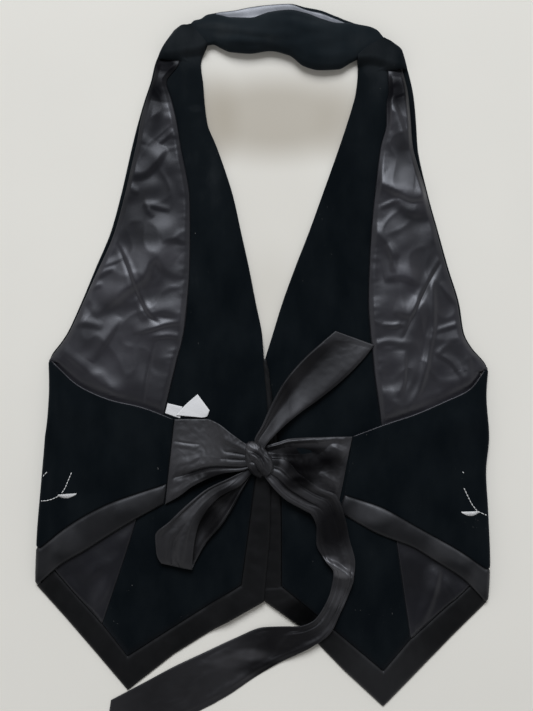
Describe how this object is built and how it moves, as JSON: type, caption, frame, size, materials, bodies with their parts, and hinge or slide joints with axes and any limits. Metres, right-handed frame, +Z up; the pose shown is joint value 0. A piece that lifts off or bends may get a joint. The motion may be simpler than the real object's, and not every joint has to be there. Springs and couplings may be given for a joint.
{
  "type": "halterneck vest",
  "caption": "Halterneck vest in black velvet with satin lining and hem bands, laid face down, its back bands tied in a half bow.",
  "frame": {"origin": "middle of the outline of the laid garment, on the surface it lies on", "axes": "+Y from the hem towards the neckband, +Z up from the surface it lies on, +X towards the wearer's right as the garment lies face down"},
  "size_m": [0.4528, 0.7358, 0.0268],
  "materials": {
    "velvet": "black cotton velvet",
    "satin": "black satin",
    "label": "white printed tape, left blank",
    "button": "black, satin sheen"
  },
  "bodies": {
    "root": {"front_left": "velvet", "front_right": "velvet", "facing_left": "velvet", "facing_right": "velvet", "lining_left": "satin", "lining_right": "satin", "front_band_left": "satin", "front_band_right": "satin", "back_left": "velvet", "back_right": "velvet", "back_lining_left": "satin", "back_lining_right": "satin", "back_band_left": "satin", "back_band_right": "satin", "tie_root_left": "satin", "tie_root_right": "satin", "tie_knot": "satin", "tie_loop": "satin", "tie_short_tail": "satin", "tie_long_tail": "satin", "neckband": "velvet", "neckband_lining": "satin", "care_label_back": "label", "care_label_front": "label", "button_1": "button", "button_2": "button", "button_3": "button"}
  },
  "joints": []
}
